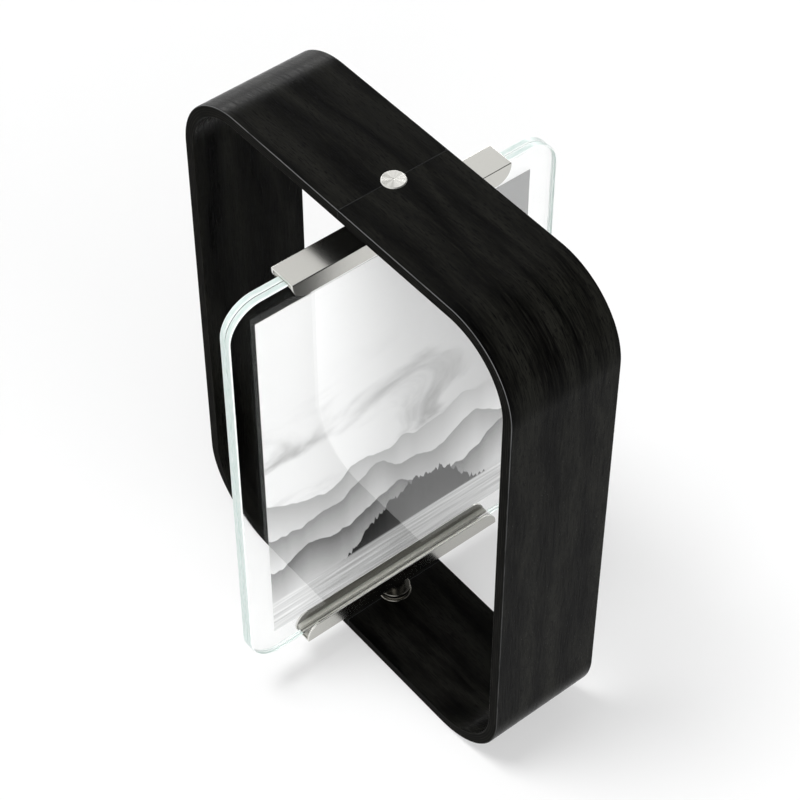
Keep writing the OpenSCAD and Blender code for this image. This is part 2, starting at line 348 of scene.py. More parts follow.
@dataclass(frozen=True)
class StainedVeneer(Finish):
    """Black-stained and oiled bent wood, whose open grain runs along the band.

    The stain leaves the figure only just lighter than black. The thin oil gives a soft sheen, broken up by
    the pores, so that bends show it as fine streaks. A pale painted highlight runs along the outer arrises,
    strongest at the top, and faintly along the seam, and the cut plies of the narrow edges are dull and
    darker.
    """

    name: str = "stained_bent_wood"
    dark: str = "#020202"
    light: str = "#1b1b18"
    pore: str = "#080808"
    edge: str = "#0d0d0c"
    glue_line: str = "#2b2a27"
    # Pale colour of the painted highlight on the outer arrises and along the seam
    painted_glint: str = "#666768"
    # Width and length of the soft cloudy figure of the plain-sawn face
    figure_size: Pair = (6 * MM, 60 * MM)
    # Growth rings, cut so flat that they lie far apart and wander across the face
    ring_width: float = 10 * MM
    wander_size: Pair = (40 * MM, 130 * MM)
    wander: float = 5.0
    # Fibres are about 0.1 mm wide, and are drawn 0.7 mm wide so that the render can show them
    fibre_size: Pair = (0.7 * MM, 12 * MM)
    pore_size: Pair = (0.35 * MM, 4 * MM)
    # Shares of the rings in the figure, of the fibres in the tone and of the pores in the relief
    ring_share: float = 0.3
    fibre_share: float = 0.45
    pore_share: float = 0.4
    # Levels of the noise between which the tone rises, a pore closes, and a glue line or the painted
    # highlight shows
    tone_step: Pair = (0.34, 0.68)
    pore_step: Pair = (0.36, 0.46)
    glue_step: Pair = (0.25, 0.7)
    glint_step: Pair = (0.1, 0.55)
    # Levels of the blended corner between which an arris takes the painted highlight
    arris_glint_step: Pair = (0.3, 0.6)
    # The wall is pressed from five plies
    ply: float = 1.0 * MM
    # Half depth of the band, and the rounding of its arrises
    half_depth: float = 25 * MM
    arris: float = 0.5 * MM
    # The painted arris highlight is strongest at the top, where the key light catches the arrises: its share
    # at the base, and the heights between which it grows
    low_glint_share: float = 0.4
    glint_heights: Pair = (0.15, 0.23)
    # Strip of painted highlight on each side of the seam, and how strongly it shows
    seam_glint_width: float = 0.3 * MM
    seam_glint_share: float = 0.2
    # Roughness of dull and of oiled fibres, and of the cut edges
    dull: float = 0.38
    oiled: float = 0.12
    cut: float = 0.8
    relief: float = 0.04 * MM

    def streaks(self, tree: Tree, source: Socket, size: Pair, detail: float) -> Socket:
        """Add noise that is drawn out along the grain.

        Args:
            tree: The material's node tree.
            source: Grain coordinates, along the band first.
            size: Width and length of a streak.
            detail: Detail of the noise.

        Returns:
            The noise's value.
        """
        width, length = size
        scale = (1 / length, 1 / width, 1 / width)
        drawn = add_node(tree, "Mapping", source, named={"Scale": scale})
        look = {"Scale": 1.0, "Detail": detail, "Roughness": 0.6, "Distortion": 0.6}
        return add_node(tree, "TexNoise", drawn, named=look)

    def rings(self, tree: Tree, source: Socket) -> Socket:
        """Add the bands of the growth rings, which wander across the face.

        Args:
            tree: The material's node tree.
            source: Grain coordinates.

        Returns:
            The rings' tone, from 0 to 1.
        """
        drift = self.streaks(tree, source, self.wander_size, 2.0)
        across = add_node(tree, "SeparateXYZ", source, out="Y")
        place = add_node(tree, "Math", across, 1 / self.ring_width, operation="MULTIPLY")
        place = add_node(tree, "Math", drift, self.wander, place, operation="MULTIPLY_ADD")
        return add_node(tree, "Math", place, 1.0, operation="PINGPONG")

    def plies(self, tree: Tree, source: Socket, fibre: Socket) -> Socket:
        """Add the tone of the narrow edges, on which the glue lines between the plies show faintly.

        Args:
            tree: The material's node tree.
            source: Grain coordinates.
            fibre: Noise of the fibres, which breaks the lines up.

        Returns:
            The colour.
        """
        inward = add_node(tree, "SeparateXYZ", source, out="Z")
        layer = add_node(tree, "Math", inward, self.ply / 2, operation="PINGPONG")
        line = add_node(tree, "MapRange", layer, self.ply / 4, self.ply / 2, **SOFT)
        shown = add_node(tree, "MapRange", fibre, *self.glue_step, **SOFT)
        broken = add_node(tree, "Math", line, shown, operation="MULTIPLY")
        return add_node(tree, "Mix", broken, named={6: self.edge, 7: self.glue_line}, **BLEND)

    def masks(self, tree: Tree, source: Socket) -> tuple[Socket, Socket]:
        """Add masks of the narrow edges and of the painted highlight on the outer arrises and along the seam.

        Args:
            tree: The material's node tree.
            source: Grain coordinates: along the band, across it, and in from its outer face.

        Returns:
            The mask of the edges and the mask of the painted highlight.
        """
        across = add_node(tree, "SeparateXYZ", source, out="Y")
        inward = add_node(tree, "SeparateXYZ", source, out="Z")
        across = add_node(tree, "Math", across, operation="ABSOLUTE")
        near = add_node(tree, "MapRange", across, self.half_depth - self.arris, self.half_depth, **SOFT)
        outer = add_node(tree, "MapRange", inward, self.arris, 0.0, **SOFT)
        corner = add_node(tree, "Math", near, outer, operation="MULTIPLY")
        # Painted highlight: on the outer arrises, strongest at the top, and along the seam
        arris = add_node(tree, "MapRange", corner, *self.arris_glint_step, **SOFT)
        rim = self.half_depth - 0.1 * self.arris
        edge = add_node(tree, "MapRange", across, rim, self.half_depth, **SOFT)
        place = add_node(tree, "TexCoord", out="Object")
        height = add_node(tree, "SeparateXYZ", place, out="Z")
        high = add_node(tree, "MapRange", height, *self.glint_heights, **SOFT)
        share = add_node(tree, "Math", high, 1 - self.low_glint_share, self.low_glint_share, operation="MULTIPLY_ADD")
        arris = add_node(tree, "Math", arris, share, operation="MULTIPLY")
        sideways = add_node(tree, "SeparateXYZ", place, out="X")
        sideways = add_node(tree, "Math", sideways, operation="ABSOLUTE")
        seam = add_node(tree, "MapRange", sideways, self.seam_glint_width, 0.3 * self.seam_glint_width, **SOFT)
        seam = add_node(tree, "Math", seam, self.seam_glint_share, operation="MULTIPLY")
        return edge, add_node(tree, "Math", arris, seam, operation="MAXIMUM")

    def dress(self, tree: Tree) -> None:
        """Add the grain, the sheen and the relief of the pores.

        Args:
            tree: The material's node tree.
        """
        source = add_node(tree, "Attribute", attribute_name=GRAIN, out="Vector")
        figure = self.streaks(tree, source, self.figure_size, 3.0)
        fibre = self.streaks(tree, source, self.fibre_size, 2.0)
        pore = self.streaks(tree, source, self.pore_size, 1.0)
        edge, painted_glint = self.masks(tree, source)
        cloudy = add_node(tree, "Mix", self.ring_share, named={2: figure, 3: self.rings(tree, source)})
        blend = add_node(tree, "Mix", self.fibre_share, named={2: cloudy, 3: fibre})
        tone = add_node(tree, "MapRange", blend, *self.tone_step, **SOFT)
        colour = add_node(tree, "Mix", tone, named={6: self.dark, 7: self.light}, **BLEND)
        closed = add_node(tree, "MapRange", pore, *self.pore_step, **SOFT)
        colour = add_node(tree, "Mix", closed, named={6: self.pore, 7: colour}, **BLEND)
        plies = self.plies(tree, source, fibre)
        colour = add_node(tree, "Mix", edge, named={6: colour, 7: plies}, **BLEND)
        # Fibres break the painted highlight line up
        shown = add_node(tree, "MapRange", fibre, *self.glint_step, **SOFT)
        glint_mask = add_node(tree, "Math", painted_glint, shown, operation="MULTIPLY")
        colour = add_node(tree, "Mix", glint_mask, named={6: colour, 7: self.painted_glint}, **BLEND)
        gloss = add_node(tree, "MapRange", fibre, *NOISE_SPAN, self.dull, self.oiled)
        rough = add_node(tree, "Mix", edge, named={2: gloss, 3: self.cut})
        height = add_node(tree, "Mix", self.pore_share, named={2: fibre, 3: closed})
        relief = {"Strength": 0.4, "Distance": self.relief, "Height": height}
        bump = add_node(tree, "Bump", named=relief)
        look = {"Base Color": colour, "Roughness": rough, "Normal": bump}
        values = {"IOR": 1.5, "Specular IOR Level": 0.021}
        surface = add_node(tree, "BsdfPrincipled", named=look | values)
        add_node(tree, "OutputMaterial", surface)


@dataclass(frozen=True)
class SpeckledMetal(Finish):
    """A bare metal whose surface treatment shows as a fine even texture.

    Satin nickel plate is blasted before plating, which blurs what it mirrors and leaves fine specks.
    Polished nickel keeps only faint traces of the wheel. Zinc plate is duller and slightly uneven.
    """

    name: str = "satin_nickel_plate"
    colour: str = "#c9c8c3"
    roughness: float = 0.2
    spread: float = 0.03
    # Blasting grit leaves dimples of about 0.1 mm, drawn 0.3 mm wide so that the render can show them
    grit: float = 0.3 * MM
    depth: float = 0.001 * MM
    tone: float = 0.02

    def dress(self, tree: Tree) -> None:
        """Add specks to the metal's tone, gloss and relief.

        Args:
            tree: The material's node tree.
        """
        place = add_node(tree, "TexCoord", out="Object")
        grain = {"Scale": 1 / self.grit, "Detail": 2.0, "Roughness": 0.6}
        specks = add_node(tree, "TexNoise", place, named=grain)
        shade = add_node(tree, "MapRange", specks, *NOISE_SPAN, 1 - 2 * self.tone, 1.0)
        colour = add_node(tree, "Mix", 1.0, named={6: self.colour, 7: shade}, **TINT)
        half = self.spread / 2
        rough = add_node(tree, "MapRange", specks, *NOISE_SPAN, self.roughness - half, self.roughness + half)
        bump = add_node(tree, "Bump", named={"Strength": 0.6, "Distance": self.depth, "Height": specks})
        look = {"Base Color": colour, "Roughness": rough, "Normal": bump, "Metallic": 1.0}
        surface = add_node(tree, "BsdfPrincipled", named=look)
        add_node(tree, "OutputMaterial", surface)


@dataclass(frozen=True)
class FacedAluminium(Finish):
    """Aluminium faced on a lathe, whose rings of tool marks spread light into a fan about the centre. Its
    colour also carries a painted fan of highlight, and a painted highlight on the bevel and the turning
    centre.
    """

    name: str = "turned_aluminium_face"
    # Lit and shaded tones of the face, between which the painted fan of highlight steps
    colour: str = "#dcdbd6"
    shaded: str = "#b6b5b0"
    roughness: float = 0.25
    # The tool moves about 0.08 mm a turn, and its rings are drawn 0.3 mm apart so that the render shows them
    ring: float = 0.3 * MM
    depth: float = 0.006 * MM
    # Level of the metal in the grooves between the rings
    groove: float = 0.93
    # Number of pale rays in the painted fan of highlight is about twice this
    rays: float = 1.3
    painted_fan_step: Pair = (0.36, 0.62)
    # The bevel and the small turning centre are cut finer, and a painted highlight keeps them bright
    face: Pair = (4.40 * MM, 4.45 * MM)
    centre: Pair = (0.55 * MM, 0.4 * MM)

    def dress(self, tree: Tree) -> None:
        """Add the rings about the swivel's axis, with a painted fan of highlight in the colour.

        Args:
            tree: The material's node tree.
        """
        place = add_node(tree, "TexCoord", out="Object")
        flat = add_node(tree, "VectorMath", place, (1.0, 1.0, 0.0), operation="MULTIPLY")
        radius = add_node(tree, "VectorMath", flat, operation="LENGTH", out="Value")
        marks = {"W": radius, "Scale": 1 / self.ring, "Detail": 2.0}
        rings = add_node(tree, "TexNoise", named=marks, noise_dimensions="1D")
        # Painted highlight: noise on the unit circle, so that each ray keeps its tone from the centre to the
        # rim
        aim = add_node(tree, "VectorMath", flat, operation="NORMALIZE")
        spread = {"Scale": self.rays, "Detail": 1.5, "Roughness": 0.45}
        fan = add_node(tree, "TexNoise", aim, named=spread)
        ray = add_node(tree, "MapRange", fan, *self.painted_fan_step, **SOFT)
        # Painted highlight on the bevel and the turning centre
        rim = add_node(tree, "MapRange", radius, *self.face, **SOFT)
        centre = add_node(tree, "MapRange", radius, *self.centre, **SOFT)
        bright = add_node(tree, "Math", rim, centre, operation="MAXIMUM")
        fine = add_node(tree, "Math", ray, bright, operation="MAXIMUM")
        plain = add_node(tree, "Mix", fine, named={6: self.shaded, 7: self.colour}, **BLEND)
        shade = add_node(tree, "MapRange", rings, *NOISE_SPAN, self.groove, 1.0)
        colour = add_node(tree, "Mix", 1.0, named={6: plain, 7: shade}, **TINT)
        bump = add_node(tree, "Bump", named={"Strength": 0.6, "Distance": self.depth, "Height": rings})
        look = {"Base Color": colour, "Normal": bump, "Roughness": self.roughness}
        surface = add_node(tree, "BsdfPrincipled", named=look | {"Metallic": 1.0, "Anisotropic": 0.8})
        add_node(tree, "OutputMaterial", surface)


@dataclass(frozen=True)
class FloatGlass(Finish):
    """Clear float glass, in which the long way through the pane shows pale green."""

    name: str = "clear_float_glass"
    colour: str = "#ffffff"
    deep: str = "#bfe6d8"
    density: float = 3.0
    ior: float = 1.52
    roughness: float = 0.0
    clear: float = 1.0

    def dress(self, tree: Tree) -> None:
        """Add clear glass that tints what crosses it lengthways."""
        self.let_lamps_through(tree, {"Base Color": self.colour})

    def let_lamps_through(self, tree: Tree, look: dict) -> None:
        """Add the glass and its tinted inside, with a surface that the lamps' light passes unbent.

        Args:
            tree: The material's node tree.
            look: The colour of the glass, and what else shapes its surface.
        """
        values = {"Roughness": self.roughness, "IOR": self.ior, "Transmission Weight": self.clear}
        glass = add_node(tree, "BsdfPrincipled", named=look | values)
        shadow = add_node(tree, "LightPath", out="Is Shadow Ray")
        diffuse = add_node(tree, "LightPath", out="Is Diffuse Ray")
        passing = add_node(tree, "Math", shadow, diffuse, operation="MAXIMUM")
        surface = add_node(tree, "MixShader", passing, glass, add_node(tree, "BsdfTransparent"))
        body = add_node(tree, "VolumeAbsorption", self.deep, self.density)
        add_node(tree, "OutputMaterial", surface, body)


@dataclass(frozen=True)
class SeamedEdge(FloatGlass):
    """The seamed edge of a pane: ground round, then half polished.

    The fine grinding scatters the light that runs along inside the pane, so that the edge glows pale aqua.
    """

    name: str = "seamed_glass_edge"
    roughness: float = 0.3
    clear: float = 0.25
    pale: str = "#f1f9f7"
    shaded: str = "#d0e5df"
    # The grinding wheel's scratches are about 0.05 mm wide, drawn 0.3 mm so that the render can show them
    scratch: float = 0.3 * MM
    scratch_length: float = 3.75 * MM
    scratch_step: Pair = (0.2, 0.8)
    depth: float = 0.01 * MM

    def dress(self, tree: Tree) -> None:
        """Add the scattering edge with the faint unevenness that the wheel leaves.

        Args:
            tree: The material's node tree.
        """
        place = add_node(tree, "TexCoord", out="Object")
        scale = (1 / self.scratch, 1 / self.scratch_length, 1 / self.scratch_length)
        drawn = add_node(tree, "Mapping", place, named={"Scale": scale})
        ground = add_node(tree, "TexNoise", drawn, named={"Scale": 1.0, "Detail": 2.0})
        tone = add_node(tree, "MapRange", ground, *self.scratch_step, **SOFT)
        colour = add_node(tree, "Mix", tone, named={6: self.shaded, 7: self.pale}, **BLEND)
        bump = add_node(tree, "Bump", named={"Strength": 0.25, "Distance": self.depth, "Height": ground})
        self.let_lamps_through(tree, {"Base Color": colour, "Normal": bump})


@dataclass(frozen=True)
class FineGrained(Finish):
    """A dull material with a fine noise in tone and relief, such as nylon, silicone, felt or birch."""

    name: str = "white_nylon"
    dark: str = "#dedbd2"
    light: str = "#eeece6"
    grain: Triple = (0.3 * MM, 0.3 * MM, 0.3 * MM)
    roughness: float = 0.5
    depth: float = 0.01 * MM
    fuzz: float = 0.0

    def dress(self, tree: Tree) -> None:
        """Add the noise to the colour and the relief.

        Args:
            tree: The material's node tree.
        """
        place = add_node(tree, "TexCoord", out="Object")
        drawn = add_node(tree, "Mapping", place, named={"Scale": tuple(1 / size for size in self.grain)})
        noise = add_node(tree, "TexNoise", drawn, named={"Scale": 1.0, "Detail": 3.0, "Roughness": 0.6})
        level = add_node(tree, "MapRange", noise, *NOISE_SPAN)
        colour = add_node(tree, "Mix", level, named={6: self.dark, 7: self.light}, **BLEND)
        bump = add_node(tree, "Bump", named={"Strength": 0.7, "Distance": self.depth, "Height": noise})
        look = {"Base Color": colour, "Normal": bump}
        values = {"Roughness": self.roughness, "Sheen Weight": self.fuzz}
        surface = add_node(tree, "BsdfPrincipled", named=look | values)
        add_node(tree, "OutputMaterial", surface)


@dataclass(frozen=True)
class Ridge:
    """One range of hills in the print: its crest, how it rolls, its tone, and the mist at its foot.

    The hump is how far the range rises in the middle, and the trees are the height of its conifers.
    """

    crest: float
    roll: float
    length: float
    seed: float
    tone: float
    mist: float
    hump: float = 0.0
    trees: float = 0.0


@dataclass(frozen=True)
class GreyPrint(Finish):
    """A greyscale print on satin paper: pale sky, drifting cloud and misty ranges of hills over a lake.

    The paper's coating gives a weak even sheen. Its back is plain white. Places and heights in the picture
    are shares of the print's width and height.
    """

    name: str = "greyscale_print"
    width: float = 127 * MM
    height: float = 178 * MM
    bottom: float = 32.05 * MM
    paper: str = "#f6f6f4"
    # Fibres of the paper under its coating
    fibre: float = 0.4 * MM
    depth: float = 0.004 * MM
    # Tones of the bright and the shaded side of the sky, and of its cloud
    bright: float = 0.98
    shaded: float = 0.28
    cloud: float = 0.34
    cloud_step: Pair = (0.46, 0.74)
    cloud_heights: Pair = (0.80, 0.50)
    cloud_tilt: float = -14.0
    cloud_scale: Triple = (1.0, 16.0, 42.0)
    # The shade grows across the sky, and the height counts in it by this share
    shade_span: Pair = (0.50, 1.40)
    shade_rise: float = 0.35
    ridges: tuple[Ridge, ...] = (
        Ridge(crest=0.400, roll=0.110, length=0.40, seed=3.1, tone=0.50, mist=0.88),
        Ridge(crest=0.315, roll=0.100, length=0.33, seed=7.7, tone=0.32, mist=0.80),
        Ridge(crest=0.225, roll=0.090, length=0.25, seed=12.4, tone=0.16, mist=0.66),
        Ridge(crest=0.060, roll=0.060, length=0.30, seed=21.9, tone=0.014, mist=0.08, hump=0.16, trees=0.034),
    )
    outline: float = 0.003
    mist_depth: float = 0.13
    # The wooded hump rises and falls between these places
    hump_rise: Pair = (0.18, 0.56)
    hump_fall: Pair = (0.98, 0.60)
    # Half the distance between conifers, how far they stray, and how often stray and height change
    tree_gap: float = 1 / 58
    tree_stray: float = 0.12
    stray_scale: float = 19.0
    growth_scale: float = 31.0
    # The lake lies below its shore, and its ripples have these tones
    shore: Pair = (0.105, 0.098)
    ripple_scale: Triple = (1.0, 25.0, 700.0)
    ripple_step: Pair = (0.35, 0.7)
    ripple_tones: Pair = (0.50, 0.86)

    def crest_line(self, tree: Tree, across: Socket, ridge: Ridge) -> Socket:
        """Add the height of a ridge's outline across the print.

        Args:
            tree: The material's node tree.
            across: Distance across the print, from 0 to 1.
            ridge: The ridge to draw.

        Returns:
            The outline's height.
        """
        place = add_node(tree, "Math", across, ridge.seed, operation="ADD")
        waves = {"W": place, "Scale": 1 / ridge.length, "Detail": 4.0, "Roughness": 0.45}
        roll = add_node(tree, "TexNoise", named=waves, noise_dimensions="1D")
        low, high = ridge.crest - ridge.roll, ridge.crest + ridge.roll
        line = add_node(tree, "MapRange", roll, 0.0, 1.0, low, high)
        if not ridge.trees:
            return line
        rise = add_node(tree, "MapRange", across, *self.hump_rise, **SOFT)
        fall = add_node(tree, "MapRange", across, *self.hump_fall, **SOFT)
        hump = add_node(tree, "Math", rise, fall, operation="MULTIPLY")
        line = add_node(tree, "Math", hump, ridge.hump, line, operation="MULTIPLY_ADD")
        # Spires of conifers: a sharp comb whose teeth differ in height and stand at uneven distances
        drift = {"W": place, "Scale": self.stray_scale, "Detail": 2.0}
        stray = add_node(tree, "TexNoise", named=drift, noise_dimensions="1D")
        uneven = add_node(tree, "Math", stray, self.tree_stray, place, operation="MULTIPLY_ADD")
        comb = add_node(tree, "Math", uneven, self.tree_gap, operation="PINGPONG")
        tooth = add_node(tree, "MapRange", comb, 0.0, self.tree_gap, 0.0, 1.0)
        growth = {"W": place, "Scale": self.growth_scale, "Detail": 1.0}
        sizes = add_node(tree, "TexNoise", named=growth, noise_dimensions="1D")
        tall = add_node(tree, "Math", tooth, sizes, operation="MULTIPLY")
        return add_node(tree, "Math", tall, ridge.trees, line, operation="MULTIPLY_ADD")

    def sky(self, tree: Tree, spot: Socket, across: Socket, up: Socket) -> Socket:
        """Add the sky, bright on the left and shaded towards the upper right, with its drifting cloud.

        Args:
            tree: The material's node tree.
            spot: Place on the print, in metres.
            across: Distance across the print, from 0 to 1.
            up: Height on the print, from 0 to 1.

        Returns:
            The sky's tone.
        """
        turn = (math.radians(self.cloud_tilt), 0.0, 0.0)
        drift = add_node(tree, "Mapping", spot, named={"Rotation": turn, "Scale": self.cloud_scale})
        look = {"Scale": 1.0, "Detail": 6.0, "Roughness": 0.55, "Distortion": 0.8}
        cloud = add_node(tree, "TexNoise", drift, named=look)
        thick = add_node(tree, "MapRange", cloud, *self.cloud_step, **SOFT)
        low = add_node(tree, "MapRange", up, *self.cloud_heights, **SOFT)
        shade = add_node(tree, "Math", thick, low, operation="MULTIPLY")
        side = add_node(tree, "Math", up, self.shade_rise, across, operation="MULTIPLY_ADD")
        grey = add_node(tree, "MapRange", side, *self.shade_span, **SOFT)
        clear = add_node(tree, "Mix", grey, named={2: self.bright, 3: self.shaded})
        return add_node(tree, "Mix", shade, named={2: clear, 3: self.cloud})

    def lake(self, tree: Tree, spot: Socket, up: Socket, tone: Socket) -> Socket:
        """Add the still water at the foot of the hills.

        Args:
            tree: The material's node tree.
            spot: Place on the print, in metres.
            up: Height on the print, from 0 to 1.
            tone: The picture's tone so far.

        Returns:
            The tone with the water below the shore.
        """
        ripple = add_node(tree, "Mapping", spot, named={"Scale": self.ripple_scale})
        water = add_node(tree, "TexNoise", ripple, named={"Scale": 1.0, "Detail": 3.0, "Roughness": 0.5})
        glint = add_node(tree, "MapRange", water, *self.ripple_step, *self.ripple_tones)
        shore = add_node(tree, "MapRange", up, *self.shore)
        return add_node(tree, "Mix", shore, named={2: tone, 3: glint})

    def dress(self, tree: Tree) -> None:
        """Add the picture on the front of the sheet and bare paper on its back.

        Args:
            tree: The material's node tree.
        """
        place = add_node(tree, "TexCoord", out="Object")
        sideways = add_node(tree, "SeparateXYZ", place, out="Y")
        across = add_node(tree, "MapRange", sideways, -self.width / 2, self.width / 2)
        height = add_node(tree, "SeparateXYZ", place, out="Z")
        up = add_node(tree, "MapRange", height, self.bottom, self.bottom + self.height)
        tone = self.sky(tree, place, across, up)
        for ridge in self.ridges:
            line = self.crest_line(tree, across, ridge)
            depth = add_node(tree, "Math", line, up, operation="SUBTRACT")
            inside = add_node(tree, "MapRange", depth, 0.0, self.outline)
            hill = add_node(tree, "MapRange", depth, 0.0, self.mist_depth, ridge.tone, ridge.mist)
            tone = add_node(tree, "Mix", inside, named={2: tone, 3: hill})
        tone = self.lake(tree, place, up, tone)
        forward = add_node(tree, "SeparateXYZ", place, out="X")
        front = add_node(tree, "Math", forward, 0.0, operation="GREATER_THAN")
        colour = add_node(tree, "Mix", front, named={6: self.paper, 7: tone}, **BLEND)
        fibre = add_node(tree, "TexNoise", place, named={"Scale": 1 / self.fibre, "Detail": 1.0})
        bump = add_node(tree, "Bump", named={"Strength": 0.2, "Distance": self.depth, "Height": fibre})
        look = {"Base Color": colour, "Normal": bump}
        values = {"Roughness": 0.45, "Specular IOR Level": 0.3}
        surface = add_node(tree, "BsdfPrincipled", named=look | values)
        add_node(tree, "OutputMaterial", surface)


WOOD = StainedVeneer()
SATIN_NICKEL = SpeckledMetal()
POLISHED_NICKEL = SpeckledMetal(name="polished_nickel_plate", colour="#8f8d86", roughness=0.22)
# Inside the channels the plate is left dull, and its darker colour there is painted shade
DULL_NICKEL_PAINTED_SHADE = SpeckledMetal(
    name="dull_nickel_inside_painted_shade", colour="#7d7b74", roughness=0.45, spread=0.06, depth=0.002 * MM, tone=0.04
)
ZINC = SpeckledMetal(
    name="zinc_plated_steel", colour="#a9abab", roughness=0.36, spread=0.12, grit=0.6 * MM, tone=0.08
)
# The sheared edge of the plated sheet is burnished by the die, and mirrors more sharply than its faces. Its
# paler colour is painted highlight.
CUT_NICKEL_PAINTED_HIGHLIGHT = SpeckledMetal(name="burnished_nickel_edge_painted_highlight", colour="#dddcd7", roughness=0.18, tone=0.01)
ALUMINIUM = FacedAluminium()
GLASS = FloatGlass()
GLASS_EDGE = SeamedEdge()
# The outer arrises of the two panes, and all the upper ones, are whiter than the edges: painted highlight,
# which at the top also paints over the shade in the groove between the panes
GLASS_ARRIS_PAINTED_HIGHLIGHT = SeamedEdge(
    name="ground_glass_arris_painted_highlight", roughness=0.5, clear=0.1, pale="#ffffff", shaded="#eaf2f0"
)
PRINT = GreyPrint()
NYLON = FineGrained()
SILICONE = FineGrained(
    name="grey_silicone_strip",
    dark="#a2a19a",
    light="#bfbeb6",
    grain=(0.3 * MM, 1.2 * MM, 0.3 * MM),
    roughness=0.55,
    depth=0.008 * MM,
)
BIRCH = FineGrained(
    name="planed_birch",
    dark="#9c7d56",
    light="#c4a67b",
    grain=(4 * MM, 0.4 * MM, 0.4 * MM),
    roughness=0.6,
    depth=0.03 * MM,
)
FELT = FineGrained(
    name="pressed_black_felt",
    dark="#131313",
    light="#2b2b2b",
    grain=(0.5 * MM, 0.5 * MM, 0.5 * MM),
    roughness=0.95,
    depth=0.12 * MM,
    fuzz=0.3,
)


